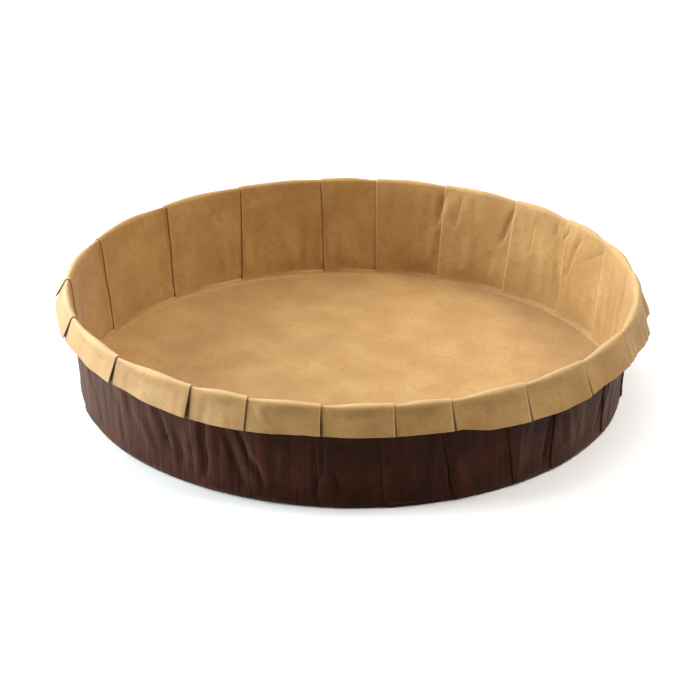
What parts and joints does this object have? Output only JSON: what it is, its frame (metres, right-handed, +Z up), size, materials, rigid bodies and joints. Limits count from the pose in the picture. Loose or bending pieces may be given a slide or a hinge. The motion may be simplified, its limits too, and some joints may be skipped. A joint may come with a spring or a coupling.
{
  "type": "paper cake mold",
  "caption": "Round shallow baking mold folded from one disc of two-tone paper, with a pleated wall and a turned-down cuff at the rim.",
  "frame": {"origin": "middle of the underside, on the plane that the mold stands on", "axes": "+Z up through the open mouth, -Y towards the front of the picture, +X to its right"},
  "size_m": [0.2397, 0.239, 0.045],
  "materials": {
    "two_tone_paper": "uncoated kraft on the inside face, dark brown printed on the outside face"
  },
  "bodies": {
    "root": {"paper_mold": "two_tone_paper"}
  },
  "joints": []
}
